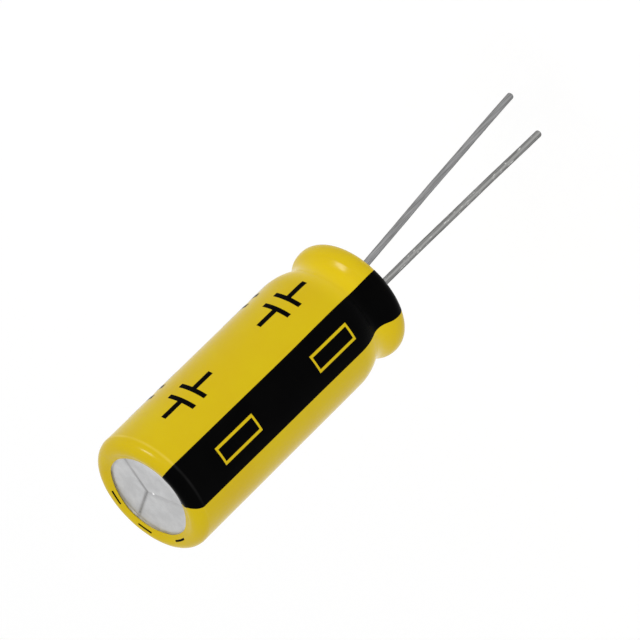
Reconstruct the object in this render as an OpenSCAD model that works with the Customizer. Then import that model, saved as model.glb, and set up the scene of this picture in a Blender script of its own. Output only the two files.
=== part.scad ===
// Radial-lead supercapacitor: a sleeved aluminium can with a scored vent, standing on its two leads.
// The seating plane is z = 0, the vented end is up and both leads lie in the XZ plane, negative at +X.

/* [Can] */
// Outside diameter of the drawn can
can_d = 18; // [16:0.1:22]
// Length from the seating plane to the top of the sleeved body
body_len = 43.8; // [42:0.05:60]
// Thickness of the can's wall and base
can_wall = 0.4; // [0.3:0.05:0.5]
// Outside radius of the corner at the vented end
vent_round = 1.55; // [1.3:0.05:2.5]
// Outside radius of the crest that runs on from that corner
crest_round = 1.17; // [0.9:0.01:1.5]
// Turn of the corner's arc, up to where the crest begins
crest_turn = 62; // [50:1:75]
// Steepness of the slope from the crest down to the sunk base
dish_slope = 30; // [20:1:40]
// Width of that slope below the crest
dish_w = 0.65; // [0.4:0.05:1]

/* [Bead groove and rolled rim] */
// Height of the groove's deepest line above the seating plane
groove_z = 4.8; // [4.7:0.1:5.6]
// Depth of the groove below the can's side
groove_depth = 1.1; // [0.8:0.05:1.2]
// Radius of the groove's bottom
groove_round = 2.9; // [1.5:0.1:3]
// Height from that line to where the shoulder runs out into the straight side
shoulder_len = 4.8; // [4.4:0.1:6]
// How far the rolled rim below the groove stays inside the can's side
rim_drop = 0.05; // [0:0.05:0.2]
// Outside radius of the rim's lower edge
rim_round = 1.7; // [1.4:0.05:1.8]
// Width of the flat that the rim stands on
rim_flat = 0.4; // [0.2:0.05:0.8]
// Outside radius of the edge curled up into the rubber
curl_round = 0.75; // [0.6:0.05:0.9]

/* [Scored vent] */
// Distance from the ends of the three score lines to the edge of the sunk base
score_margin = 0.15; // [0.1:0.05:2]
// Depth of the score lines
score_depth = 0.2; // [0.1:0.02:0.26]
// Turn of the first score line from the negative lead
score_turn = -22; // [-60:1:60]
// Distance of the point where they meet from the can's axis
score_off = 0.7; // [0:0.1:1]
// Turn of that point from the negative lead
score_off_turn = 115; // [0:5:355]

/* [Sleeve and print] */
// Thickness of the shrunk film
sleeve_t = 0.12; // [0.1:0.01:0.2]
// Clearance between the film and the can
film_gap = 0.01; // [0.005:0.005:0.03]
// Thickness of the printed ink
ink_t = 0.05; // [0.04:0.01:0.08]
// Width of the polarity stripe around the can
stripe_w = 7.1; // [5:0.1:9]
// Turn of the stripe's middle from the negative lead
stripe_turn = 6.5; // [-15:0.1:15]
// Length of the clear-outlined rectangles in the stripe
window_len = 7.45; // [5:0.05:9]
// Width of those rectangles around the can
window_w = 2.85; // [2:0.05:4]
// Width of their clear outline along both sides
outline_w = 0.5; // [0.3:0.05:0.8]
// Width of that outline across both ends
outline_end_w = 0.4; // [0.3:0.05:0.8]
// Distance between the two printed repeats along the can
repeat_pitch = 19.4; // [16:0.05:21]
// Distance from the vented end to the middle of the first repeat
repeat_start = 11.2; // [9.5:0.1:11.5]
// Length of the capacitor symbol printed beside the stripe
symbol_len = 9.6; // [7:0.1:11]
// Height of that symbol around the can
symbol_h = 4.4; // [3:0.1:5]
// Thickness of the symbol's strokes
stroke_w = 0.75; // [0.5:0.05:1]
// Turn from the stripe's middle to the near row of symbols
near_turn = 59; // [50:1:70]
// Turn from the stripe's middle to the far row of symbols
far_turn = 110; // [105:1:180]

/* [Leads] */
// Distance between the two leads where they leave the bung
lead_pitch = 7.5; // [6:0.1:8]
// Diameter of the lead wire
lead_d = 1; // [0.8:0.05:1.2]
// Free length of the positive lead below the seating plane
positive_len = 41.35; // [20:0.05:50]
// Free length of the negative lead below the seating plane
negative_len = 36; // [20:0.05:50]
// Straight length of both leads before their bend
lead_straight = 3.5; // [3:0.5:6]
// Sideways bend of the positive lead
positive_bend = 4.3; // [0.5:0.1:12]
// Sideways bend of the negative lead
negative_bend = 0.6; // [0.5:0.1:12]
// Direction of the positive lead's bend, the negative one bends the other way
bend_turn = 115; // [90:1:180]
// Swelling of the wire's radius where it is bent
bend_swell = 0.03; // [0.02:0.01:0.05]

/* [Inside] */
// Height of the bung's inner face above the groove's line
bung_rise = 2.4; // [2.2:0.1:3]
// Clearance between the rubber and the metal that it seals
seal_gap = 0.02; // [0.01:0.01:0.04]
// Diameter of the round stem of a tab
stem_d = 2.4; // [1.8:0.1:2.8]
// Height at which the wire is welded to the stem
weld_z = 1.4; // [1.2:0.1:2]
// Width of a tab's flat blade
blade_w = 3.6; // [3:0.1:4.5]
// Thickness of a tab's flat blade
blade_t = 0.5; // [0.3:0.05:0.7]
// Length of the blade inside the roll
blade_len = 22; // [10:1:26]
// Clearance between the wound roll and the can's wall
roll_gap = 0.35; // [0.25:0.05:0.6]
// Free height between the bung and the roll
roll_lift = 0.8; // [0.6:0.05:0.95]
// Free height between the roll and the can's base
head_space = 0.9; // [0.5:0.05:0.95]
// Diameter of the hole that the winding mandrel leaves
mandrel_d = 3; // [2:0.1:3.4]
// Thickness of the fixing tape
tape_t = 0.06; // [0.05:0.01:0.1]
// Width of the fixing tape along the roll
tape_w = 24; // [10:1:30]

/* [Hidden] */
$fn = 96;
// A cutting shape runs this far past what it cuts
over = 1;
// Straight steps that make up each arc of the can's side
arc_steps = 12;

can_r = can_d / 2;
rim_r = can_r - rim_drop;
lead_r = lead_d / 2;
stem_r = stem_d / 2;
roll_r = can_r - can_wall - roll_gap;
skin = sleeve_t + film_gap;
can_bottom = skin;
can_top = body_len - skin;
groove_r = can_r - groove_depth + groove_round;
shoulder_z = groove_z + shoulder_len;
crest_z = can_bottom + rim_round;
rim_flat_r = rim_r - rim_round - rim_flat;
curl_z = can_bottom + curl_round;
curl_edge_r = rim_flat_r - curl_round;
bung_top = groove_z + bung_rise;
roll_z = bung_top + roll_lift;
repeat_heights = [for (i = [0, 1]) body_len - repeat_start - i * repeat_pitch];

// Radius of the arc that leaves a wall of radius wall_r at wall_z and touches the groove's arc
function blend_round(wall_r, wall_z) =
    let (out = groove_r - wall_r, up = wall_z - groove_z)
    (out * out + up * up - groove_round * groove_round) / (2 * (groove_round - out));

back_round = blend_round(rim_r, crest_z);
shoulder_round = blend_round(can_r, shoulder_z);

// Centres of the arcs in the can's side, as [radius, height]
rim_c = [rim_r - rim_round, crest_z];
back_c = [rim_r - back_round, crest_z];
groove_c = [groove_r, groove_z];
shoulder_c = [can_r - shoulder_round, shoulder_z];
crest_c = [can_r - vent_round, can_top - crest_round] + (vent_round - crest_round) * [cos(crest_turn), 0];
vent_c = [can_r - vent_round, crest_c.y - (vent_round - crest_round) * sin(crest_turn)];

// Slopes of the lines that join the groove's centre to the centres beside it
back_deg = atan2(groove_c.y - back_c.y, groove_c.x - back_c.x);
shoulder_deg = atan2(shoulder_c.y - groove_c.y, groove_c.x - shoulder_c.x);

// Length of the slope down to the sunk base, and the base's own radius
dish_run = dish_w / cos(dish_slope);
base_r = crest_c.x - crest_round * sin(dish_slope) - dish_w;

// Foot of the slope, where it meets the sunk base, moved inward by inset
function dish_foot(inset) = crest_c
    + (crest_round - inset) * [-sin(dish_slope), cos(dish_slope)]
    - (dish_run + inset * tan(dish_slope / 2)) * [cos(dish_slope), sin(dish_slope)];

base_z = dish_foot(0).y;
roll_top = base_z - can_wall - head_space;

function degrees_around(length) = length / (can_r + skin) * 180 / PI;
function backwards(points) = [for (i = [len(points) - 1:-1:0]) points[i]];

// Points along an arc, without its first one
function arc(centre, radius, from, to) = [for (i = [1:arc_steps])
    let (turn = from + (to - from) * i / arc_steps) centre + radius * [cos(turn), sin(turn)]];

// Outline of the can's side from the rim's flat to the sunk base, moved inward by inset
function side(inset) = concat(
    [[rim_c.x, can_bottom + inset]],
    arc(rim_c, rim_round - inset, -90, 0),
    arc(back_c, back_round - inset, 0, back_deg),
    arc(groove_c, groove_round + inset, 180 + back_deg, 180 - shoulder_deg),
    arc(shoulder_c, shoulder_round - inset, -shoulder_deg, 0),
    [[can_r - inset, vent_c.y]],
    arc(vent_c, vent_round - inset, 0, crest_turn),
    arc(crest_c, crest_round - inset, crest_turn, 90 + dish_slope),
    [dish_foot(inset)]);

// Section of a coat of the given thickness that starts at a distance outside the can
module coat_section(start, thickness) {
    polygon(concat(
        [[rim_flat_r, can_bottom - start - thickness]],
        side(-start - thickness),
        backwards(side(-start)),
        [[rim_flat_r, can_bottom - start]]));
}

// Patch of ink with its middle at a height and a turn, spanning a number of degrees around the sleeve
module ink_patch(z, length, turn, span) {
    rotate(turn - span / 2) rotate_extrude(angle = span) intersection() {
        coat_section(skin, ink_t);
        translate([0, z - length / 2]) square([can_d, length]);
    }
}

// Block that leaves such a patch of the sleeve clear of ink
module clear_patch(z, length, turn, span) {
    translate([0, 0, z - length / 2]) rotate(turn - span / 2)
        rotate_extrude(angle = span) square([can_d, length]);
}

// Heat-shrink film, turned in over the vented end and the rim
module sleeve() {
    color("gold") rotate_extrude() coat_section(film_gap, sleeve_t);
}

// Printed stripe, with the outlines of its two rectangles left clear
module polarity_stripe() {
    stripe_len = body_len - skin + over;
    fill_len = window_len - 2 * outline_end_w;
    fill_deg = degrees_around(window_w - 2 * outline_w);
    color([0.03, 0.03, 0.04]) {
        difference() {
            ink_patch(skin + stripe_len / 2, stripe_len, stripe_turn, degrees_around(stripe_w));
            for (z = repeat_heights) clear_patch(z, window_len, stripe_turn, degrees_around(window_w));
        }
        for (z = repeat_heights) ink_patch(z, fill_len, stripe_turn, fill_deg);
    }
}

// Printed capacitor symbol: two plates across the can, each with a line leading away along it
module capacitor_symbol(z, turn) {
    plate_gap = 2 * stroke_w;
    plate_deg = degrees_around(symbol_h);
    corner_z = plate_gap / 2 + stroke_w + symbol_len / 4;
    corner_turn = (degrees_around(stroke_w) + plate_deg / 2) / 2;
    difference() {
        ink_patch(z, symbol_len, turn, plate_deg);
        clear_patch(z, plate_gap, turn, 2 * plate_deg);
        for (way = [-1, 1], hand = [-1, 1])
            clear_patch(z + way * corner_z, symbol_len / 2, turn + hand * corner_turn, plate_deg / 2);
    }
}

// Symbols beside the stripe, and the same again further round on the far side
module value_marks() {
    color([0.03, 0.03, 0.04])
        for (z = repeat_heights, turn = [near_turn, far_turn]) capacitor_symbol(z, stripe_turn + turn);
}

// Three score lines that meet beside the middle of the vent and run out towards the edge of the base
module score_lines() {
    score_side = score_depth * sqrt(2);
    intersection() {
        translate(score_off * [cos(score_off_turn), sin(score_off_turn), 0])
            for (i = [0:2])
                rotate(score_turn + i * 120) translate([0, 0, base_z - score_depth]) rotate([45, 0, 0])
                    cube([can_r, score_side, score_side]);
        cylinder(h = body_len, r = base_r - score_margin);
    }
}

// Drawn can, curled in at the rim, with the scored vent in its sunk base
module can() {
    curl_c = [rim_flat_r, curl_z];
    color("silver") difference() {
        rotate_extrude() polygon(concat(
            [[curl_edge_r, curl_z]],
            arc(curl_c, curl_round, 180, 270),
            side(0),
            [[0, base_z], [0, base_z - can_wall]],
            backwards(side(can_wall)),
            [[rim_flat_r, can_bottom + can_wall]],
            arc(curl_c, curl_round - can_wall, 270, 180)));
        score_lines();
    }
}

// Rubber bung, waisted by the groove, with a boss through the curl and a stepped hole for each lead
module bung() {
    boss_r = curl_edge_r - seal_gap;
    inset = can_wall + seal_gap;
    color([0.12, 0.12, 0.13]) difference() {
        rotate_extrude() intersection() {
            polygon(concat(
                [[0, 0], [boss_r, 0], [boss_r, curl_z + seal_gap], [rim_flat_r, curl_z + seal_gap]],
                [[rim_flat_r, can_bottom + inset]],
                side(inset),
                [[0, base_z - inset]]));
            square([can_d, bung_top]);
        }
        for (hand = [-1, 1]) translate([hand * lead_pitch / 2, 0, 0]) {
            translate([0, 0, -over]) cylinder(h = weld_z + over, r = lead_r + seal_gap);
            translate([0, 0, weld_z]) cylinder(h = bung_top, r = stem_r + seal_gap);
        }
    }
}

// Tinned wire from the weld down: straight through the board, then bent sideways and cut to length
module lead(free_len, bend, turn) {
    tip = lead_r / 2;
    slant_len = free_len - lead_straight;
    color([0.72, 0.72, 0.74]) {
        translate([0, 0, -lead_straight]) cylinder(h = lead_straight + weld_z, r = lead_r);
        translate([0, 0, -lead_straight]) rotate(turn) rotate([0, -bend, 0]) {
            sphere(lead_r + bend_swell);
            rotate_extrude() polygon([[0, 0], [lead_r, 0], [lead_r, tip - slant_len],
                [lead_r - tip, -slant_len], [0, -slant_len]]);
        }
    }
}

module positive_lead() {
    translate([-lead_pitch / 2, 0, 0]) lead(positive_len, positive_bend, bend_turn);
}

module negative_lead() {
    translate([lead_pitch / 2, 0, 0]) lead(negative_len, negative_bend, bend_turn + 180);
}

// Aluminium tab: a round stem through the bung and a flat blade stitched into the roll
module tab() {
    color([0.8, 0.81, 0.83]) {
        translate([0, 0, weld_z]) cylinder(h = bung_top - weld_z, r = stem_r);
        translate([-blade_t / 2, -blade_w / 2, bung_top]) cube([blade_t, blade_w, roll_lift + blade_len]);
    }
}

module positive_tab() {
    translate([-lead_pitch / 2, 0, 0]) tab();
}

module negative_tab() {
    translate([lead_pitch / 2, 0, 0]) tab();
}

// Foils and separators wound together, with the mandrel hole and a slot for each tab's blade
module wound_element() {
    slot = [blade_t + 2 * seal_gap, blade_w + 2 * seal_gap, blade_len + seal_gap + over];
    color([0.2, 0.2, 0.21]) difference() {
        translate([0, 0, roll_z]) cylinder(h = roll_top - roll_z, r = roll_r);
        translate([0, 0, roll_z - over]) cylinder(h = roll_top - roll_z + 2 * over, r = mandrel_d / 2);
        for (side = [-1, 1])
            translate([side * lead_pitch / 2 - slot.x / 2, -slot.y / 2, roll_z - over]) cube(slot);
    }
}

// Tape around the middle of the roll
module fixing_tape() {
    color("tan") translate([0, 0, (roll_z + roll_top - tape_w) / 2]) difference() {
        cylinder(h = tape_w, r = roll_r + tape_t);
        translate([0, 0, -over]) cylinder(h = tape_w + 2 * over, r = roll_r);
    }
}

sleeve();
polarity_stripe();
value_marks();
can();
bung();
positive_lead();
negative_lead();
positive_tab();
negative_tab();
wound_element();
fixing_tape();
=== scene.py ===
import math

import bpy
from mathutils import Matrix, Vector


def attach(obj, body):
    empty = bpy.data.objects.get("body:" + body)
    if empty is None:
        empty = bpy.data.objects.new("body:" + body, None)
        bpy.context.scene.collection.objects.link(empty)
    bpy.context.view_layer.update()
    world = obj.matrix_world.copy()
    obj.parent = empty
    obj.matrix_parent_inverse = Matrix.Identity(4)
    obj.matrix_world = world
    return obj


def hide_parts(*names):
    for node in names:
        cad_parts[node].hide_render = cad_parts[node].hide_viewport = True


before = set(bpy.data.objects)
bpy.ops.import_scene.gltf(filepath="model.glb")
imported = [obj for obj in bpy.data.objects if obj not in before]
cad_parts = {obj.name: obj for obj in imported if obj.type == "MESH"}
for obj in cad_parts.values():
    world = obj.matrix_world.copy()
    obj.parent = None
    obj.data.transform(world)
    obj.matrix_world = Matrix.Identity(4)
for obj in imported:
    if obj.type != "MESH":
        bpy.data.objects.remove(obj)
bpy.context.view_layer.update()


# Wound element
# Two carbon-coated foils and two paper separators, wound tight on a mandrel and soaked in electrolyte.
# It fills the can, and only its black edge layers would show if the can were cut open.
MM = 0.001


def maths(nodes, links, operation, *values, vector=False):
    """Result of one maths node whose inputs are constants or other nodes' results."""
    node = nodes.new("ShaderNodeVectorMath" if vector else "ShaderNodeMath")
    node.operation = operation
    for socket, value in zip(node.inputs, values):
        if isinstance(value, bpy.types.NodeSocket):
            links.new(value, socket)
        else:
            socket.default_value = value
    return node.outputs["Value"] if operation in ("DOT_PRODUCT", "DISTANCE") else node.outputs[0]


def wear_group():
    """Colour that drifts in patches, and a fine grain that sets the roughness and feeds the bump."""
    group = bpy.data.node_groups.new("surface wear", "ShaderNodeTree")
    face = group.interface
    for name, kind, value in (
        ("Colour", "NodeSocketColor", (0.5, 0.5, 0.5, 1)),
        ("Aged Colour", "NodeSocketColor", (0.4, 0.4, 0.4, 1)),
        ("Patch Scale", "NodeSocketFloat", 200.0),
        ("Grain Scale", "NodeSocketFloat", 2000.0),
        ("Stretch", "NodeSocketVector", (1, 1, 1)),
        ("Smoothest", "NodeSocketFloat", 0.4),
        ("Roughest", "NodeSocketFloat", 0.6),
    ):
        socket = face.new_socket(name=name, in_out="INPUT", socket_type=kind)
        socket.default_value = value
    face.new_socket(name="Colour", in_out="OUTPUT", socket_type="NodeSocketColor")
    face.new_socket(name="Roughness", in_out="OUTPUT", socket_type="NodeSocketFloat")
    face.new_socket(name="Grain", in_out="OUTPUT", socket_type="NodeSocketFloat")
    nodes, links = group.nodes, group.links
    given = nodes.new("NodeGroupInput")
    result = nodes.new("NodeGroupOutput")
    place = nodes.new("ShaderNodeTexCoord").outputs["Object"]
    stretched = maths(nodes, links, "MULTIPLY", place, given.outputs["Stretch"], vector=True)
    patch = nodes.new("ShaderNodeTexNoise")
    patch.inputs["Detail"].default_value = 5
    grain = nodes.new("ShaderNodeTexNoise")
    grain.inputs["Detail"].default_value = 4
    for texture, scale in ((patch, "Patch Scale"), (grain, "Grain Scale")):
        links.new(stretched, texture.inputs["Vector"])
        links.new(given.outputs[scale], texture.inputs["Scale"])
    spread = nodes.new("ShaderNodeMapRange")
    spread.inputs["From Min"].default_value = 0.35
    spread.inputs["From Max"].default_value = 0.65
    links.new(patch.outputs["Fac"], spread.inputs["Value"])
    patched = nodes.new("ShaderNodeMix")
    patched.data_type = "RGBA"
    links.new(spread.outputs["Result"], patched.inputs["Factor"])
    links.new(given.outputs["Colour"], patched.inputs["A"])
    links.new(given.outputs["Aged Colour"], patched.inputs["B"])
    sheen = nodes.new("ShaderNodeMapRange")
    sheen.inputs["From Min"].default_value = 0.3
    sheen.inputs["From Max"].default_value = 0.7
    links.new(grain.outputs["Fac"], sheen.inputs["Value"])
    links.new(given.outputs["Smoothest"], sheen.inputs["To Min"])
    links.new(given.outputs["Roughest"], sheen.inputs["To Max"])
    links.new(patched.outputs["Result"], result.inputs["Colour"])
    links.new(sheen.outputs["Result"], result.inputs["Roughness"])
    links.new(grain.outputs["Fac"], result.inputs["Grain"])
    return group


surface_wear = wear_group()


def worn_material(name, metallic=0.0, specular=0.5, bump=0.1, depth=0.02, edge=1.0, **look):
    """A material whose colour, roughness and grain come from the wear group."""
    material = bpy.data.materials.new(name)
    material.use_nodes = True
    nodes, links = material.node_tree.nodes, material.node_tree.links
    shader = nodes["Principled BSDF"]
    shader.inputs["Metallic"].default_value = metallic
    shader.inputs["Specular IOR Level"].default_value = specular
    shader.inputs["Specular Tint"].default_value = (edge, edge, edge, 1)
    wear = nodes.new("ShaderNodeGroup")
    wear.node_tree = surface_wear
    for socket, value in look.items():
        wear.inputs[socket.replace("_", " ")].default_value = value
    relief = nodes.new("ShaderNodeBump")
    relief.inputs["Strength"].default_value = bump
    relief.inputs["Distance"].default_value = depth * MM
    links.new(wear.outputs["Colour"], shader.inputs["Base Color"])
    links.new(wear.outputs["Roughness"], shader.inputs["Roughness"])
    links.new(wear.outputs["Grain"], relief.inputs["Height"])
    links.new(relief.outputs["Normal"], shader.inputs["Normal"])
    return material


def dress(node, material):
    """Gives a CAD node its finished material."""
    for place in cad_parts[node].material_slots:
        place.material = material


roll_look = worn_material(
    "wound roll", bump=0.6, depth=0.1,
    Colour=(0.03, 0.03, 0.032, 1), Aged_Colour=(0.016, 0.016, 0.017, 1),
    Patch_Scale=300, Grain_Scale=1500, Stretch=(4, 4, 0.3), Smoothest=0.7, Roughest=0.95)
dress("wound_element", roll_look)


# Fixing tape
# One turn and a bit of tan adhesive film that keeps the roll from springing open.
# It is stuck around the middle of the roll before the tabs go into the bung.
tape_look = worn_material(
    "fixing tape", specular=0.4, bump=0.2, depth=0.02,
    Colour=(0.52, 0.36, 0.2, 1), Aged_Colour=(0.44, 0.3, 0.16, 1),
    Patch_Scale=250, Grain_Scale=1800, Stretch=(1, 1, 3), Smoothest=0.3, Roughest=0.5)
dress("fixing_tape", tape_look)


# Tabs
# Two aluminium tabs, cold-formed from rod: a round stem for the bung and a flat blade for the roll.
# Each blade is stitched to its foil, and each stem is welded to its lead.
tab_look = worn_material(
    "tab aluminium", metallic=1.0, bump=0.3, depth=0.02,
    Colour=(0.78, 0.78, 0.8, 1), Aged_Colour=(0.68, 0.68, 0.7, 1),
    Patch_Scale=300, Grain_Scale=2500, Stretch=(3, 3, 0.2), Smoothest=0.3, Roughest=0.5)
dress("positive_tab", tab_look)
dress("negative_tab", tab_look)


# Bung
# Moulded black rubber that closes the can and grips both tab stems.
# The can's bead groove squeezes its waist, and the curled edge bites into it around the boss.
rubber_look = worn_material(
    "moulded rubber", specular=0.35, bump=0.5, depth=0.03,
    Colour=(0.022, 0.022, 0.023, 1), Aged_Colour=(0.034, 0.033, 0.033, 1),
    Patch_Scale=350, Grain_Scale=3500, Smoothest=0.55, Roughest=0.8)
dress("bung", rubber_look)


# Leads
# Two tinned copper-clad wires, drawn, cut from a coil and welded to the tabs inside the bung.
# The longer one is positive. Both have the slight bends that handling leaves.
lead_x = 3.75
positive_len = 41.35  # below the seat
negative_len = 36
wire_r = 0.5
wire_start = 1.4  # inside the bung
wire_bend_z = -3.5
bend_half = 1.2  # half the length that the bend takes
wave_h = 0.012  # waves that straightening leaves, and their radians for each millimetre
wave_rate = 0.42
long_swell = 0.006  # shares of the radius, where drawing leaves the wire thicker
long_swell_rate = 1.7
short_swell = 0.004
short_swell_rate = 4.3
cut_len = 0.25  # rounding that the cutter leaves at the tip
cut_face = 0.55  # share of the radius that stays flat
cut_shares = (0.35, 0.65, 0.88, 1.0)
crown_h = 0.01  # slight crown of the cut face
crown_share = 0.3
wire_sides = 28
wire_steps = 150


def add_mesh(name, points, faces, material, sharp):
    """A smooth mesh piece in the part's own frame, from points in millimetres."""
    mesh = bpy.data.meshes.new(name)
    mesh.from_pydata([tuple(v * MM for v in p) for p in points], [], faces)
    mesh.validate()
    mesh.polygons.foreach_set("use_smooth", [True] * len(mesh.polygons))
    mesh.set_sharp_from_angle(angle=math.radians(sharp))
    mesh.materials.append(material)
    piece = bpy.data.objects.new(name, mesh)
    bpy.context.scene.collection.objects.link(piece)
    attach(piece, "root")
    return piece


def wire_rings(x, length, bend, turn, sway, shift):
    """Rings of a drawn wire: straight out of the bung, a soft bend, a swaying run and the cut end."""
    lean = math.radians(bend)
    way = math.radians(turn)
    side = Vector((math.cos(way), math.sin(way), 0))
    straight = wire_start - wire_bend_z
    run = length + wire_bend_z
    rings = []
    for i in range(wire_steps + 1):
        s = -straight + (straight + run) * i / wire_steps
        past = max(0.0, s)
        eased = past if s > bend_half else 0.0
        if -bend_half < s <= bend_half:
            eased = (s + bend_half) ** 2 / (4 * bend_half)
        drift = sway * math.sin(math.pi * past / run) + wave_h * math.sin(past * wave_rate + shift)
        centre = Vector((x, 0, wire_bend_z)) + side * (eased * math.sin(lean) + drift)
        centre.z += -s if s < 0 else -s * math.cos(lean)
        swell = long_swell * math.sin(s * long_swell_rate + shift)
        swell += short_swell * math.sin(s * short_swell_rate)
        rings.append((centre, wire_r * (1 + swell)))
    tip = rings.pop()[0]
    way_out = (tip - rings[-1][0]).normalized()
    rings.append((tip - way_out * cut_len, wire_r))
    for share in cut_shares:
        fall = math.sqrt(max(0.0, 1 - share * share))
        rings.append((tip - way_out * cut_len * (1 - share), wire_r * (cut_face + (1 - cut_face) * fall)))
    rings.append((tip + way_out * crown_h, wire_r * crown_share))
    return rings


def wire_mesh(name, rings, material):
    """Skins the rings and closes both ends."""
    points, faces = [], []
    n = wire_sides
    for i, (centre, radius) in enumerate(rings):
        before = rings[max(0, i - 1)][0]
        after = rings[min(len(rings) - 1, i + 1)][0]
        along = (after - before).normalized()
        across = Vector((1, 0, 0)).cross(along).normalized()
        up = along.cross(across)
        for k in range(n):
            turn = 2 * math.pi * k / n
            points.append(centre + radius * (math.cos(turn) * across + math.sin(turn) * up))
    for i in range(len(rings) - 1):
        for k in range(n):
            a, b = i * n + k, i * n + (k + 1) % n
            faces.append((a, b, b + n, a + n))
    faces.append(tuple(reversed(range(n))))
    last = (len(rings) - 1) * n
    faces.append(tuple(range(last, last + n)))
    return add_mesh(name, points, faces, material, sharp=50)


def ramp(nodes, links, value, low, high):
    """Soft step from 0 at low to 1 at high."""
    node = nodes.new("ShaderNodeMapRange")
    node.interpolation_type = "SMOOTHSTEP"
    node.inputs["From Min"].default_value = low
    node.inputs["From Max"].default_value = high
    links.new(value, node.inputs["Value"])
    return node.outputs["Result"]


def tint(nodes, links, socket, factor, colour):
    """Mixes a colour over what already feeds a socket."""
    mix = nodes.new("ShaderNodeMix")
    mix.data_type = "RGBA"
    mix.inputs["B"].default_value = colour
    links.new(factor, mix.inputs["Factor"])
    links.new(socket.links[0].from_socket, mix.inputs["A"])
    links.new(mix.outputs["Result"], socket)


wire_highlight_half = 0.23  # painted highlight, a light line along the wire
wire_highlight_core = 0.02
wire_highlight_strength = 0.8
scrape_glint_scale = 1500  # nicks of scuffed tin, painted light as glints
scrape_glint_stretch = (3.2, 3.2, 0.6)


def add_highlight_and_scrapes(material, x, turn, lean, wire_highlight, scrape_glint):
    """A painted highlight along the wire, and nicks where the tin is scuffed, painted light as glints."""
    nodes, links = material.node_tree.nodes, material.node_tree.links
    colour = nodes["Principled BSDF"].inputs["Base Color"]
    place = nodes.new("ShaderNodeTexCoord").outputs["Object"]
    way = math.radians(turn)
    from_bend = maths(nodes, links, "SUBTRACT", place, (x * MM, 0, wire_bend_z * MM), vector=True)
    off = maths(nodes, links, "DOT_PRODUCT", from_bend, (-math.sin(way), math.cos(way), lean), vector=True)
    line = ramp(nodes, links, maths(nodes, links, "ABSOLUTE", off), wire_highlight_half * MM, wire_highlight_core * MM)
    # Painted highlight: a light line along the wire at the given turn, on that side and on the back.
    tint(nodes, links, colour, maths(nodes, links, "MULTIPLY", line, wire_highlight_strength), wire_highlight)
    nicks = nodes.new("ShaderNodeTexNoise")
    nicks.inputs["Scale"].default_value = scrape_glint_scale
    nicks.inputs["Detail"].default_value = 3
    stretched = maths(nodes, links, "MULTIPLY", place, scrape_glint_stretch, vector=True)
    links.new(stretched, nicks.inputs["Vector"])
    # Painted glints: light flecks where the tin is scuffed.
    tint(nodes, links, colour, ramp(nodes, links, nicks.outputs["Fac"], 0.62, 0.72), scrape_glint)


tin_look = worn_material(
    "dull tin plate", metallic=1.0, bump=0.35, depth=0.02, edge=0.3,
    Colour=(0.34, 0.34, 0.345, 1), Aged_Colour=(0.2, 0.2, 0.2, 1),
    Patch_Scale=420, Grain_Scale=600, Stretch=(14, 14, 0.5), Smoothest=0.24, Roughest=0.42)
highlit_scuffed_look = worn_material(
    "scuffed tin plate with painted highlight", metallic=1.0, bump=0.5, depth=0.03, edge=0.3,
    Colour=(0.29, 0.29, 0.285, 1), Aged_Colour=(0.155, 0.155, 0.152, 1),
    Patch_Scale=420, Grain_Scale=600, Stretch=(14, 14, 0.5), Smoothest=0.2, Roughest=0.4)
# Painted highlight on the side of the negative wire that faces the camera, and painted glints.
add_highlight_and_scrapes(highlit_scuffed_look, lead_x, turn=24, lean=-0.0105,
           wire_highlight=(0.38, 0.38, 0.37, 1), scrape_glint=(0.66, 0.66, 0.64, 1))
positive_rings = wire_rings(-lead_x, positive_len, bend=4.3, turn=115, sway=0.1, shift=0.4)
negative_rings = wire_rings(lead_x, negative_len, bend=0.6, turn=295, sway=-0.05, shift=2.0)
positive_wire = wire_mesh("positive_wire", positive_rings, tin_look)
negative_wire = wire_mesh("negative_wire", negative_rings, highlit_scuffed_look)
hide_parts("positive_lead")
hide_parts("negative_lead")


# Can
# Drawn from one disc of aluminium, with three score lines pressed into its base as a vent.
# After filling, its side is rolled in as a bead around the bung and its open edge is curled over.
body_len = 43.8
can_r = 9.0
wall = 0.4
rim_r = 8.95  # rolled rim below the groove
rim_round = 1.7
rim_flat = 0.4
curl_round = 0.75  # open edge, curled into the bung
groove_z = 4.8  # bead groove
groove_depth = 1.1
groove_round = 2.9
shoulder_z = 9.6  # where the straight side begins
skin = 0.13  # room for the film
can_bottom = skin
can_top = body_len - skin
vent_round = 1.55  # corner at the vent, rounded in two arcs
crest_round = 1.17
crest_turn = 62.0
dish_slope = 30.0  # inside of the vent's rim, down to the sunk base
base_r = 6.4
crest_r = can_r - vent_round + (vent_round - crest_round) * math.cos(math.radians(crest_turn))
crest_top_z = can_top - crest_round
corner_z = crest_top_z - (vent_round - crest_round) * math.sin(math.radians(crest_turn))
groove_centre_r = can_r - groove_depth + groove_round
crest_z = can_bottom + rim_round
rim_flat_r = rim_r - rim_round - rim_flat
curl_z = can_bottom + curl_round


def blend_round(wall_r, wall_z):
    """Radius of the arc that leaves a wall and touches the groove's own arc."""
    out = groove_centre_r - wall_r
    up = wall_z - groove_z
    return (out * out + up * up - groove_round ** 2) / (2 * (groove_round - out))


back_round = blend_round(rim_r, crest_z)
shoulder_round = blend_round(can_r, shoulder_z)


def arc(centre, radius, start, stop, steps):
    """Points along an arc in the half section, with its first one left out."""
    turns = [math.radians(start + (stop - start) * i / steps) for i in range(1, steps + 1)]
    return [(centre[0] + radius * math.cos(t), centre[1] + radius * math.sin(t)) for t in turns]


def line(start, stop, steps):
    """Points along a straight run in the half section, with its first one left out."""
    shares = [i / steps for i in range(1, steps + 1)]
    return [(start[0] + (stop[0] - start[0]) * s, start[1] + (stop[1] - start[1]) * s) for s in shares]


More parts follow.
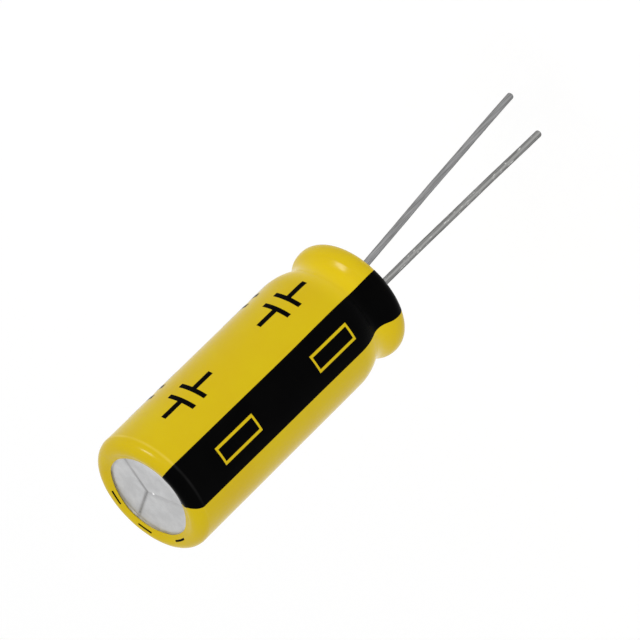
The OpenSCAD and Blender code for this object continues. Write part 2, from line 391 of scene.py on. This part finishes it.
def dish_foot(grow):
    """Where the slope inside the vent's rim meets the sunk base, on a surface moved out by grow."""
    slope = math.radians(dish_slope)
    run = (crest_r - crest_round * math.sin(slope) - base_r) / math.cos(slope)
    run -= grow * math.tan(slope / 2)
    reach = crest_round + grow
    return (crest_r - reach * math.sin(slope) - run * math.cos(slope),
            crest_top_z + reach * math.cos(slope) - run * math.sin(slope))


def can_side(grow, fine=1, straight=6):
    """Half section of the rolled rim, bead groove, straight side and vent corner, moved out by grow."""
    back_r = rim_r - back_round
    shoulder_r = can_r - shoulder_round
    back_turn = math.degrees(math.atan2(groove_z - crest_z, groove_centre_r - back_r))
    shoulder_turn = math.degrees(math.atan2(shoulder_z - groove_z, groove_centre_r - shoulder_r))
    points = [(rim_r - rim_round, can_bottom - grow)]
    points += arc((rim_r - rim_round, crest_z), rim_round + grow, -90, 0, 8 * fine)
    points += arc((back_r, crest_z), back_round + grow, 0, back_turn, 6 * fine)
    points += arc((groove_centre_r, groove_z), groove_round - grow,
                  180 + back_turn, 180 - shoulder_turn, 8 * fine)
    points += arc((shoulder_r, shoulder_z), shoulder_round + grow, -shoulder_turn, 0, 8 * fine)
    points += line(points[-1], (can_r + grow, corner_z), straight)
    points += arc((can_r - vent_round, corner_z), vent_round + grow, 0, crest_turn, 6 * fine)
    points += arc((crest_r, crest_top_z), crest_round + grow, crest_turn, 90 + dish_slope, 6 * fine)
    points += line(points[-1], dish_foot(grow), 3 * fine)
    return points


base_z = dish_foot(0)[1]
score_turns = (-22.0, 94.0, 218.0)
score_depths = (0.06, 0.16, 0.16)
score_middle = (-0.1, 0.665)  # where the three arms meet
score_half = 0.2
score_margin = 0.15  # the arms run out short of the base's edge
score_fade = 0.3
score_shade_core = 0.03  # painted shade along each arm
score_shade_from = -0.12
score_shade_full = 0.05
score_shade_spread = ((0.2, 1.1), (0.5, 0.5), (0.5, 0.5))  # how wide the painted shade fades to the left and the right
score_shade = ((0.24, 0.16), (0.5, 0.24), (0.42, 0.38))  # strength of the painted shade at the middle and at the edge
flank_round = 0.11  # rounding of the arms' flanks
flank_at = 0.23
flank_w = 0.12
nick = (0.9, 0.29)  # one small nick beside the arms
nick_r = 0.17
nick_depth = 0.05


def ease(share):
    """Smooth step from 0 to 1."""
    share = min(1.0, max(0.0, share))
    return share * share * (3 - 2 * share)


def hump(off, width):
    """One in the middle, falling off softly to both sides of it."""
    return math.exp(-(off / width) ** 2)


def pressed(r, turn):
    """How far the score lines, with their rounded flanks, and the nick lie below the base's plane."""
    x, y = r * math.cos(turn), r * math.sin(turn)
    ahead, aside = x - score_middle[0], y - score_middle[1]
    sunk = 0.0
    for score_turn, score_depth in zip(score_turns, score_depths):
        way = math.radians(score_turn)
        along = ahead * math.cos(way) + aside * math.sin(way)
        off = abs(aside * math.cos(way) - ahead * math.sin(way))
        if along > -score_half and off < score_half:
            inside = min(1.0, max(0.0, (base_r - score_margin - r) / score_fade))
            share = ease(1 - off / score_half) - flank_round * hump(off - flank_at, flank_w)
            sunk = max(sunk, inside * score_depth * share)
    return sunk + nick_depth * hump(math.hypot(x - nick[0], y - nick[1]), nick_r)


def revolve(path, count, lift):
    """Points and faces of a closed half section turned around the can's axis, each point moved by lift."""
    points, faces = [], []
    n = len(path)
    for k in range(count):
        turn = 2 * math.pi * k / count
        for i, (r, z) in enumerate(path):
            r, z = lift(i, r, z, turn)
            points.append((r * math.cos(turn), r * math.sin(turn), z))
    for k in range(count):
        a, b = k * n, (k + 1) % count * n
        for i in range(n):
            j = (i + 1) % n
            faces.append((a + i, b + i, b + j, a + j))
    return points, faces


hub_r = 0.001  # innermost ring of the base
base_rings = 72
can_around = 360
base = [(base_r * (1 - i / base_rings) + hub_r, base_z) for i in range(1, base_rings + 1)]
curl = (rim_flat_r, curl_z)
can_path = arc(curl, curl_round, 180, 270, 8) + can_side(0) + base
base_last = len(can_path)
base_first = base_last - base_rings
can_path += [(hub_r, base_z - wall)] + list(reversed(can_side(-wall)))
can_path += [(rim_flat_r, can_bottom + wall)] + arc(curl, curl_round - wall, 270, 180, 6)


def press_base(i, r, z, turn):
    """Only the outside of the base carries the score."""
    if base_first <= i < base_last:
        z -= pressed(r, turn)
    return r, z


can_look = worn_material(
    "drawn aluminium", metallic=1.0, bump=0.35, depth=0.015,
    Colour=(0.625, 0.627, 0.633, 1), Aged_Colour=(0.525, 0.527, 0.532, 1),
    Patch_Scale=500, Grain_Scale=5200, Smoothest=0.42, Roughest=0.6)


def shade_score_lines(material, dull, painted_glint):
    """Paints shade into the score lines, wider beside the first arm, and a painted glint on the nick."""
    nodes, links = material.node_tree.nodes, material.node_tree.links
    metal = nodes["Principled BSDF"].inputs["Base Color"]
    place = nodes.new("ShaderNodeTexCoord").outputs["Object"]
    middle = (score_middle[0] * MM, score_middle[1] * MM, base_z * MM)
    place = maths(nodes, links, "SUBTRACT", place, middle, vector=True)
    height = maths(nodes, links, "DOT_PRODUCT", place, (0, 0, 1), vector=True)
    outside = ramp(nodes, links, height, -1 * MM, -0.5 * MM)
    score_shade_mask = None
    for score_turn, (left, right), (near, far) in zip(score_turns, score_shade_spread, score_shade):
        way = math.radians(score_turn)
        ahead = maths(nodes, links, "DOT_PRODUCT", place, (math.cos(way), math.sin(way), 0), vector=True)
        off = maths(nodes, links, "DOT_PRODUCT", place, (-math.sin(way), math.cos(way), 0), vector=True)
        arm = maths(nodes, links, "MULTIPLY", ramp(nodes, links, off, left * MM, score_shade_core * MM),
                    ramp(nodes, links, off, -right * MM, -score_shade_core * MM))
        started = ramp(nodes, links, ahead, score_shade_from * MM, score_shade_full * MM)
        arm = maths(nodes, links, "MULTIPLY", arm, started)
        strength = maths(nodes, links, "MULTIPLY_ADD", ramp(nodes, links, ahead, 0, base_r * MM),
                         far - near, near)
        arm = maths(nodes, links, "MULTIPLY", arm, strength)
        score_shade_mask = maths(nodes, links, "MAXIMUM", score_shade_mask, arm) if score_shade_mask else arm
    nick_place = [(a - b) * MM for a, b in zip(nick, score_middle)] + [0]
    nick_off = maths(nodes, links, "DISTANCE", place, nick_place, vector=True)
    nick_glint_mask = ramp(nodes, links, nick_off, 1.6 * nick_r * MM, 0.6 * nick_r * MM)
    # Painted shade in the score lines; the dull colour is the colour of that shade.
    tint(nodes, links, metal, maths(nodes, links, "MULTIPLY", outside, score_shade_mask), dull)
    # Painted glint on the nick.
    tint(nodes, links, metal, nick_glint_mask, painted_glint)


# Painted shade in the score lines and a painted glint on the nick.
shade_score_lines(can_look, dull=(0.13, 0.125, 0.12, 1), painted_glint=(0.95, 0.95, 0.95, 1))
can_points, can_faces = revolve(can_path, can_around, press_base)
can_piece = add_mesh("can_shell", can_points, can_faces, can_look, sharp=60)
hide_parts("can")


# Sleeve
# Yellow heat-shrink film, slipped over the filled can and shrunk with hot air.
# It follows the bead groove, turns in over both ends and keeps a faint crease at the vent corner.
film_t = 0.12
film_gap = 0.01
film_around = 320
vent_lip_r, film_top = dish_foot(skin)
thick_t = 0.09  # the film is thicker at one side of the rolled rim
thick_turn = -64.5
thick_z = 6.5
thick_fade = 3
bridge_h = 0.12  # it bridges the groove's lower flank
bridge_z = 3.2
bridge_w = 0.75
crease_h = 0.04  # crease at the vent corner
crease_z = corner_z + 0.06
crease_w = 0.16
crease_r = 8.7
crease_even = 0.62
crease_shift = 0.2
waist_w = 2.6  # small folds in the groove
waist_waves = ((9, 0.004, 0.3), (14, 0.003, 1.9), (23, 0.0015, 0.8))
side_wave = 0.006  # slow unevenness of the straight side
side_wave_z = 24
side_wave_w = 14
side_wave_count = 3
side_wave_lean = 0.35
vent_from_z = corner_z + 0.9  # small folds over the vent's rim
vent_waves = ((17, 0.007, 0.4), (29, 0.005, 2.1))
vent_fade = 1.5
thin_turn = 27  # the film is drawn thin there at the stripe
thin_w = 28
thin_t = 0.06
thin_fade = 0.5
seat_from_z = can_bottom + 0.6  # small folds over the rolled rim
seat_waves = ((15, 0.006, 1.1), (26, 0.005, 0.2))
seat_r = 8.4
seat_fade = 1.2


def ripple(turn, waves):
    """A smooth wander around the can, from a few whole waves given as count, size and shift."""
    return sum(size * math.sin(count * turn + shift) for count, size, shift in waves)


def near_turn(turn, middle, width):
    """One at the middle turn, falling off to both sides of it; both are in degrees."""
    away = math.degrees(turn) - middle
    return hump(away - 360 * round(away / 360), width)


def shrink(r, z, turn):
    """Small unevenness of the shrunk film as (dr, dz): thicker at one side of the rolled rim, bridging
    the groove's lower flank a little, and drawn thin over the vent's rim at the stripe."""
    out = thick_t * ease((thick_z - z) / thick_fade) * math.cos(turn - math.radians(thick_turn))
    out += bridge_h * hump(z - bridge_z, bridge_w)
    if r > crease_r:
        uneven = crease_even + (1 - crease_even) * math.sin(turn - crease_shift)
        out += crease_h * hump(z - crease_z, crease_w) * uneven
    out += hump(z - groove_z, waist_w) * ripple(turn, waist_waves)
    wave = math.sin(side_wave_count * turn + side_wave_lean * z)
    out += side_wave * wave * hump(z - side_wave_z, side_wave_w)
    up = 0.0
    if z > vent_from_z:
        up += ripple(turn, vent_waves) * min(1.0, (can_r - r) / vent_fade)
        up -= thin_t * near_turn(turn, thin_turn, thin_w) * ease((z - vent_from_z) / thin_fade)
    if z < seat_from_z:
        up += max(0.0, ripple(turn, seat_waves) * min(1.0, (seat_r - r) / seat_fade))
    return out, up


lip_low = [(rim_flat_r + (rim_r - rim_round - rim_flat_r) * i / 4, 0.0) for i in range(4)]
outer = lip_low + can_side(skin, fine=3, straight=40)
inner = list(reversed(can_side(film_gap))) + [(rim_flat_r, can_bottom - film_gap)]
edge_round = 0.03  # rounding of the cut edge
edge_r = vent_lip_r - edge_round
cut_edge = [(edge_r, film_top - edge_round), (edge_r, film_top - film_t + edge_round)]
film_path = outer + cut_edge + inner
film_last = len(outer)
lip_from_r = 7.2  # the cut edge wanders and lifts from here inwards
lip_rise = 0.1
lip_out = 0.05
lip_waves = ((1, 0.18, -1.77), (2, 0.04, 0.9), (5, 0.03, 2.2), (11, 0.012, 0.5))
lip_tucks = ((0.08, 330, 18), (0.11, 158, 35))  # depth, turn and width
lip_flat_turn = 25  # at the stripe it lies flat on the metal
lip_flat_w = 35


def lip_wander(turn):
    """The cut edge of the film at the vent isn't a perfect circle, and is tucked in at two places."""
    tuck = sum(depth * near_turn(turn, middle, width) for depth, middle, width in lip_tucks)
    return lip_out - tuck + ripple(turn, lip_waves)


def film_lift(i, r, z, turn):
    """Outside of the film with its unevenness, and the wandering cut edge, which stands off the metal."""
    if i < film_last:
        out, up = shrink(r, z, turn)
        r, z = r + out, z + up
    if z > base_z and r < lip_from_r:
        share = (lip_from_r - r) / (lip_from_r - vent_lip_r)
        move = lip_wander(turn) * share
        r += move
        z += max(0.0, move) * math.tan(math.radians(dish_slope))
        z += lip_rise * share * share * (1 - near_turn(turn, lip_flat_turn, lip_flat_w))
    return r, z


highlight_w = 0.3  # painted highlight along the crease
highlight_core = 0.02
lit_way = (0.26, 0.97, 0)  # side towards the lamps, where the painted highlight shows
lit_from = -3
lit_to = 9
break_scale = 140
groove_light_z = groove_z + 0.4  # painted light on the film, strongest at the groove
groove_light_far = 4.4
groove_light_near = 0.3


def height_off(nodes, links, z):
    """How far a point lies above or below a height, as a distance."""
    place = nodes.new("ShaderNodeTexCoord").outputs["Object"]
    height = maths(nodes, links, "DOT_PRODUCT", place, (0, 0, 1), vector=True)
    return maths(nodes, links, "ABSOLUTE", maths(nodes, links, "SUBTRACT", height, z * MM))


def crease_highlight_group():
    """Colour with a painted highlight: a light, broken line around the vent corner, on the side towards
    the lamps.
    """
    group = bpy.data.node_groups.new("corner crease highlight", "ShaderNodeTree")
    face = group.interface
    for name in ("Colour", "Highlight Colour"):
        face.new_socket(name=name, in_out="INPUT", socket_type="NodeSocketColor")
    face.new_socket(name="Colour", in_out="OUTPUT", socket_type="NodeSocketColor")
    nodes, links = group.nodes, group.links
    given = nodes.new("NodeGroupInput")
    result = nodes.new("NodeGroupOutput")
    place = nodes.new("ShaderNodeTexCoord").outputs["Object"]
    highlight_line = ramp(nodes, links, height_off(nodes, links, crease_z), highlight_w * MM, highlight_core * MM)
    lit_side = maths(nodes, links, "DOT_PRODUCT", place, lit_way, vector=True)
    highlight_line = maths(nodes, links, "MULTIPLY", highlight_line,
                 ramp(nodes, links, lit_side, lit_from * MM, lit_to * MM))
    breaks = nodes.new("ShaderNodeTexNoise")
    breaks.inputs["Scale"].default_value = break_scale
    links.new(place, breaks.inputs["Vector"])
    highlight_line = maths(nodes, links, "MULTIPLY", highlight_line, ramp(nodes, links, breaks.outputs["Fac"], 0.3, 0.6))
    # Painted highlight mixed over the colour.
    tone = nodes.new("ShaderNodeMix")
    tone.data_type = "RGBA"
    links.new(highlight_line, tone.inputs["Factor"])
    links.new(given.outputs["Colour"], tone.inputs["A"])
    links.new(given.outputs["Highlight Colour"], tone.inputs["B"])
    links.new(tone.outputs["Result"], result.inputs["Colour"])
    return group


crease_highlight = crease_highlight_group()


def add_crease_highlight(material, stretched):
    """Puts the corner's painted highlight into a film or ink material."""
    nodes, links = material.node_tree.nodes, material.node_tree.links
    colour = nodes["Principled BSDF"].inputs["Base Color"]
    crease = nodes.new("ShaderNodeGroup")
    crease.node_tree = crease_highlight
    # The stretched colour is the colour of the painted highlight.
    crease.inputs["Highlight Colour"].default_value = stretched
    links.new(colour.links[0].from_socket, crease.inputs["Colour"])
    links.new(crease.outputs["Colour"], colour)


def paint_groove_light(material, thin):
    """Painted light: lightens the film towards the groove."""
    nodes, links = material.node_tree.nodes, material.node_tree.links
    colour = nodes["Principled BSDF"].inputs["Base Color"]
    # Painted light, strongest at the groove; the thin colour is the lighter colour laid on there.
    drawn = ramp(nodes, links, height_off(nodes, links, groove_light_z), groove_light_far * MM, groove_light_near * MM)
    tint(nodes, links, colour, drawn, thin)


film_look = worn_material(
    "shrunk film", specular=0.1, bump=0.08, depth=0.03,
    Colour=(0.615, 0.452, 0.003, 1), Aged_Colour=(0.6, 0.424, 0.004, 1),
    Patch_Scale=160, Grain_Scale=900, Smoothest=0.17, Roughest=0.24)
# Painted light in the groove.
paint_groove_light(film_look, thin=(0.72, 0.525, 0.005, 1))
# Painted highlight along the vent corner's crease on the film.
add_crease_highlight(film_look, stretched=(0.72, 0.54, 0.06, 1))
film_points, film_faces = revolve(film_path, film_around, film_lift)
film = add_mesh("film_sleeve", film_points, film_faces, film_look, sharp=50)
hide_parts("sleeve")


# Print
# Black ink laid on the film before it is shrunk: the polarity stripe with its two outlined rectangles
# on the negative side, a plain capacitor symbol repeated beside it, and three dashes at the vent's rim.
ink_t = 0.012
ink_sink = 0.004  # the ink's underside lies a little below the film's face
film_out = can_r + skin
stripe_middle = 6.5
stripe_w = 7.1
window_len = 7.45  # rectangles in the stripe
window_w = 2.74
outline_w = 0.42
outline_end_w = 0.35
cut_clear = 1e-4
first_repeat = 11.2  # from the vented end
repeat_len = 19.4
repeat_z = [body_len - first_repeat - repeat_len * i for i in range(2)]
twist_start = 0.93  # degrees, at the vented end
twist = 1.89
spread_z = 20  # the stripe widens below here
spread_fade = 10
spread_left = 0.1
spread_right = 0.03
left_off = 0.04
pull_turn = 5.2  # degrees that its right edge is drawn in at the vent
pull_run = 1.2
pull_curve = 0.7


def around(length):
    """Turn, in radians, of a length measured around the film."""
    return length / film_out


def film_turn(middle, z):
    """Where a turn, in degrees, lies at a height: the film twists slightly along the can as it shrinks."""
    return math.radians(middle + twist_start - twist * (body_len - z) / body_len)


def stripe_drift(r, z, turn):
    """How far shrinking has moved the stripe's ink: it spreads a little towards the lead end, and its
    right edge is drawn in over the vent corner."""
    edge, clear = around(stripe_w / 2), around(window_w / 2)
    left = max(0.0, turn - clear) / (edge - clear)
    right = max(0.0, -turn - clear) / (edge - clear)
    spread = ease((spread_z - z) / spread_fade)
    move = around(left_off + spread_left * spread) * left - around(spread_right * spread) * right
    if z > corner_z:
        pull = min(1.0, max(0.0, film_out - r) / pull_run) ** pull_curve
        move += math.radians(pull_turn) * pull * right
    return move


def no_drift(r, z, turn):
    """Print that stays where it was laid."""
    return 0.0


def cut_section(section, cuts):
    """The film's section with a point added at each of the given heights."""
    path = []
    for a, b in zip(section, section[1:]):
        path.append(a)
        low, high = sorted((a[1], b[1]))
        crossed = sorted((z for z in cuts if low + cut_clear < z < high - cut_clear), reverse=b[1] < a[1])
        for z in crossed:
            share = (z - a[1]) / (b[1] - a[1])
            path.append((a[0] + share * (b[0] - a[0]), z))
    path.append(section[-1])
    return path


def outward(path):
    """Direction away from the film at each point of a section."""
    found = []
    for i in range(len(path)):
        a, b = path[max(0, i - 1)], path[min(len(path) - 1, i + 1)]
        size = math.hypot(b[0] - a[0], b[1] - a[1])
        found.append(((b[1] - a[1]) / size, -(b[0] - a[0]) / size))
    return found


def ink_sheet(path, turns, middle, inked, drift=no_drift):
    """Ink over the film's outside, in rows along a section and columns at the given turns, and only where
    inked(z, turn) says so. Each patch is a thin closed skin that ends on the film."""
    out = outward(path)
    points, faces, seen = [], [], {}

    def corner(i, k, height):
        """Number of the point at a row and a column, above or below the film's face."""
        key = (i, k, height > 0)
        if key not in seen:
            r, z = path[i]
            turn = film_turn(middle, z) + turns[k] + drift(r, z, turns[k])
            r, z = film_lift(0, r, z, turn)
            r += out[i][0] * height
            points.append((r * math.cos(turn), r * math.sin(turn), z + out[i][1] * height))
            seen[key] = len(points) - 1
        return seen[key]

    cells = {(i, k) for i in range(len(path) - 1) for k in range(len(turns) - 1)
             if inked((path[i][1] + path[i + 1][1]) / 2, (turns[k] + turns[k + 1]) / 2)}
    for i, k in sorted(cells):
        ring = [(i, k), (i, k + 1), (i + 1, k + 1), (i + 1, k)]
        faces.append([corner(*p, ink_t) for p in ring])
        faces.append([corner(*p, -ink_sink) for p in reversed(ring)])
        beside = [(i - 1, k), (i, k + 1), (i + 1, k), (i, k - 1)]
        for p, q, next_cell in zip(ring, ring[1:] + ring[:1], beside):
            if next_cell not in cells:
                faces.append([corner(*q, ink_t), corner(*p, ink_t),
                              corner(*p, -ink_sink), corner(*q, -ink_sink)])
    return points, faces


def columns(edges, finest):
    """Turns from edge to edge, with steps no wider than finest between them."""
    found = []
    for a, b in zip(edges, edges[1:]):
        steps = max(1, math.ceil((b - a) / finest))
        found += [a + (b - a) * i / steps for i in range(steps)]
    return found + [edges[-1]]


def stripe_inked(z, turn):
    """The stripe is inked everywhere but along the outlines of the two rectangles."""
    for middle in repeat_z:
        if abs(z - middle) < window_len / 2 and abs(turn) < around(window_w / 2):
            return (abs(z - middle) < window_len / 2 - outline_end_w
                    and abs(turn) < around(window_w / 2 - outline_w))
    return True


ink_look = worn_material(
    "printed ink", specular=0.012, bump=0.1, depth=0.03,
    Colour=(0.0009, 0.0009, 0.001, 1), Aged_Colour=(0.0014, 0.0014, 0.0014, 1),
    Patch_Scale=200, Grain_Scale=900, Smoothest=0.22, Roughest=0.3)
# Painted highlight along the vent corner's crease on the ink.
add_crease_highlight(ink_look, stretched=(0.014, 0.014, 0.014, 1))
stripe_cuts = [z + side * (window_len / 2 - inset)
               for z in repeat_z for side in (-1, 1) for inset in (0, outline_end_w)]
stripe_half = [around(w) for w in (stripe_w / 2, window_w / 2, window_w / 2 - outline_w)]
stripe_edges = [-w for w in stripe_half] + list(reversed(stripe_half))
stripe_turns = columns(stripe_edges, finest=math.radians(1.1))
stripe_points, stripe_faces = ink_sheet(cut_section(outer, stripe_cuts), stripe_turns, stripe_middle,
                                        stripe_inked, stripe_drift)
stripe = add_mesh("printed_stripe", stripe_points, stripe_faces, ink_look, sharp=50)
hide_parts("polarity_stripe")

symbol_len = 9.6
symbol_h = 4.4
stroke_w = 0.75
symbol_rows = (59, 110)  # degrees from the stripe's middle


def symbol_inked(z, turn):
    """The capacitor symbols are inked as two plates, each with its line."""
    for middle in repeat_z:
        off = abs(z - middle)
        if stroke_w < off < 2 * stroke_w:
            return True
        if 2 * stroke_w < off < symbol_len / 2:
            return abs(turn) < around(stroke_w / 2)
    return False


def joined(sheets):
    """Points and faces of several patches as one mesh."""
    points, faces = [], []
    for sheet_points, sheet_faces in sheets:
        first = len(points)
        points += sheet_points
        faces += [[first + i for i in face] for face in sheet_faces]
    return points, faces


symbol_cuts = [z + side * part for z in repeat_z for side in (-1, 1)
               for part in (stroke_w, 2 * stroke_w, symbol_len / 2)]
symbol_path = cut_section(outer, symbol_cuts)
symbol_half = [around(symbol_h / 2), around(stroke_w / 2)]
symbol_edges = [-w for w in symbol_half] + list(reversed(symbol_half))
symbol_turns = columns(symbol_edges, finest=math.radians(1.5))
mark_points, mark_faces = joined([ink_sheet(symbol_path, symbol_turns, stripe_middle + row, symbol_inked)
                                  for row in symbol_rows])
marks = add_mesh("printed_marks", mark_points, mark_faces, ink_look, sharp=50)
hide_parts("value_marks")

dash_turns = ((172, 190), (218, 236), (272, 290))
dash_reach = ((7.15, 6.87), (7.28, 7.0), (7.28, 7.0))
dash_row = 0.1


def all_inked(z, turn):
    """A patch that is inked all over."""
    return True


def rim_section(far, near):
    """The film's section over the vent's rim, from one distance off the axis to a smaller one."""
    rim = [p for p in outer if p[1] > corner_z]
    found = []
    steps = math.ceil((far - near) / dash_row)
    for r in (far + (near - far) * i / steps for i in range(steps + 1)):
        a, b = next((a, b) for a, b in zip(rim, rim[1:]) if b[0] <= r <= a[0])
        found.append((r, a[1] + (b[1] - a[1]) * (a[0] - r) / (a[0] - b[0])))
    return found


def rim_dash(start, stop, far, near):
    """One dash on the vent's rim, between two turns and two distances off the axis."""
    half = math.radians(stop - start) / 2
    middle = (start + stop) / 2 - twist_start
    turns = columns([-half, half], finest=math.radians(1))
    return ink_sheet(rim_section(far, near), turns, middle, all_inked)


rim_points, rim_faces = joined([rim_dash(*turns, *reach) for turns, reach in zip(dash_turns, dash_reach)])
rim_print = add_mesh("printed_rim_marks", rim_points, rim_faces, ink_look, sharp=50)


# Floor
# A plain white sheet a little below the lead tips. The camera and shiny surfaces see it as white
# where no shadow falls.
floor_z = -45 * MM
floor_half = 1.5
floor_glow = 0.22
floor_mesh = bpy.data.meshes.new("floor")
floor_corners = [(-floor_half, -floor_half, floor_z), (floor_half, -floor_half, floor_z),
                 (floor_half, floor_half, floor_z), (-floor_half, floor_half, floor_z)]
floor_mesh.from_pydata(floor_corners, [], [(0, 1, 2, 3)])
floor = bpy.data.objects.new("floor", floor_mesh)
bpy.context.scene.collection.objects.link(floor)


def seen_directly(nodes, links):
    """One where a ray comes from the camera, a shiny surface or glass, and zero elsewhere."""
    rays = nodes.new("ShaderNodeLightPath")
    seen = maths(nodes, links, "MAXIMUM", rays.outputs["Is Camera Ray"], rays.outputs["Is Glossy Ray"])
    return maths(nodes, links, "MAXIMUM", seen, rays.outputs["Is Transmission Ray"])


sheet_look = bpy.data.materials.new("white sheet")
sheet_look.use_nodes = True
nodes, links = sheet_look.node_tree.nodes, sheet_look.node_tree.links
sheet = nodes["Principled BSDF"]
sheet.inputs["Base Color"].default_value = (0.8, 0.8, 0.8, 1)
sheet.inputs["Roughness"].default_value = 0.9
sheet.inputs["Specular IOR Level"].default_value = 0.1
sheet.inputs["Emission Color"].default_value = (1, 1, 1, 1)
glow = maths(nodes, links, "MULTIPLY", seen_directly(nodes, links), floor_glow)
links.new(glow, sheet.inputs["Emission Strength"])
floor_mesh.materials.append(sheet_look)


# Light
# A white room that fills in from all sides, one soft box at the front that models the body, and a card
# to its left that shows only as a reflection on the glossy film.
world = bpy.data.worlds.new("room")
bpy.context.scene.world = world
world.use_nodes = True
sky = world.node_tree.nodes["Background"]
sky.inputs["Color"].default_value = (1, 1, 1, 1)
sky.inputs["Strength"].default_value = 0.95
aim = Vector((0, 0, 22.85)) * MM


def soft_box(name, turn, rise, far, width, height, power):
    """A flat lamp that looks at the middle of the can."""
    lamp = bpy.data.lights.new(name, "AREA")
    lamp.shape = "RECTANGLE"
    lamp.size = width
    lamp.size_y = height
    lamp.energy = power
    box = bpy.data.objects.new(name, lamp)
    turn, rise = math.radians(turn), math.radians(rise)
    way = Vector((math.cos(rise) * math.cos(turn), math.cos(rise) * math.sin(turn), math.sin(rise)))
    box.location = aim + way * far
    box.rotation_euler = way.to_track_quat("Z", "Y").to_euler()
    bpy.context.scene.collection.objects.link(box)
    return box


front_box = soft_box("soft_box", turn=46, rise=14, far=0.4, width=0.2, height=0.2, power=0.31)
front_box.visible_glossy = False
bright_card = soft_box("bright_card", turn=82, rise=31, far=0.4, width=0.13, height=0.06, power=0.85)
bright_card.visible_diffuse = False


# Camera
# A long lens from above the vented end, rolled so that the can lies across the picture.
# It looks past the middle of the can, so that the leads fit into the picture too.
picture_px = 640
focal_px = 5648.0
aim_px = (248.51, 398.58)
view_rise = math.radians(28.0)
view_turn = math.radians(25.5)
view_far = 0.7427
roll_cos = -0.7013
roll_sin = -0.7129
forward = -Vector((math.cos(view_rise) * math.cos(view_turn), math.cos(view_rise) * math.sin(view_turn),
                   math.sin(view_rise)))
level_right = Vector((-math.sin(view_turn), math.cos(view_turn), 0))
level_up = level_right.cross(forward)
right = roll_cos * level_right + roll_sin * level_up
up = roll_cos * level_up - roll_sin * level_right
square_on = Matrix((right, up, -forward)).transposed()
aim_right = (aim_px[0] - picture_px / 2) / focal_px
aim_up = (picture_px / 2 - aim_px[1]) / focal_px
aim_way = Vector((aim_right, aim_up, -1)).normalized()
swing = (square_on @ aim_way).rotation_difference(forward)
lens = bpy.data.cameras.new("camera")
lens.sensor_width = 36
lens.lens = focal_px * lens.sensor_width / picture_px
lens.clip_start = 0.01
camera = bpy.data.objects.new("camera", lens)
turned = (swing.to_matrix() @ square_on).to_4x4()
camera.matrix_world = Matrix.Translation(aim - forward * view_far) @ turned
bpy.context.scene.collection.objects.link(camera)
bpy.context.scene.camera = camera
bpy.context.scene.view_settings.view_transform = "Standard"
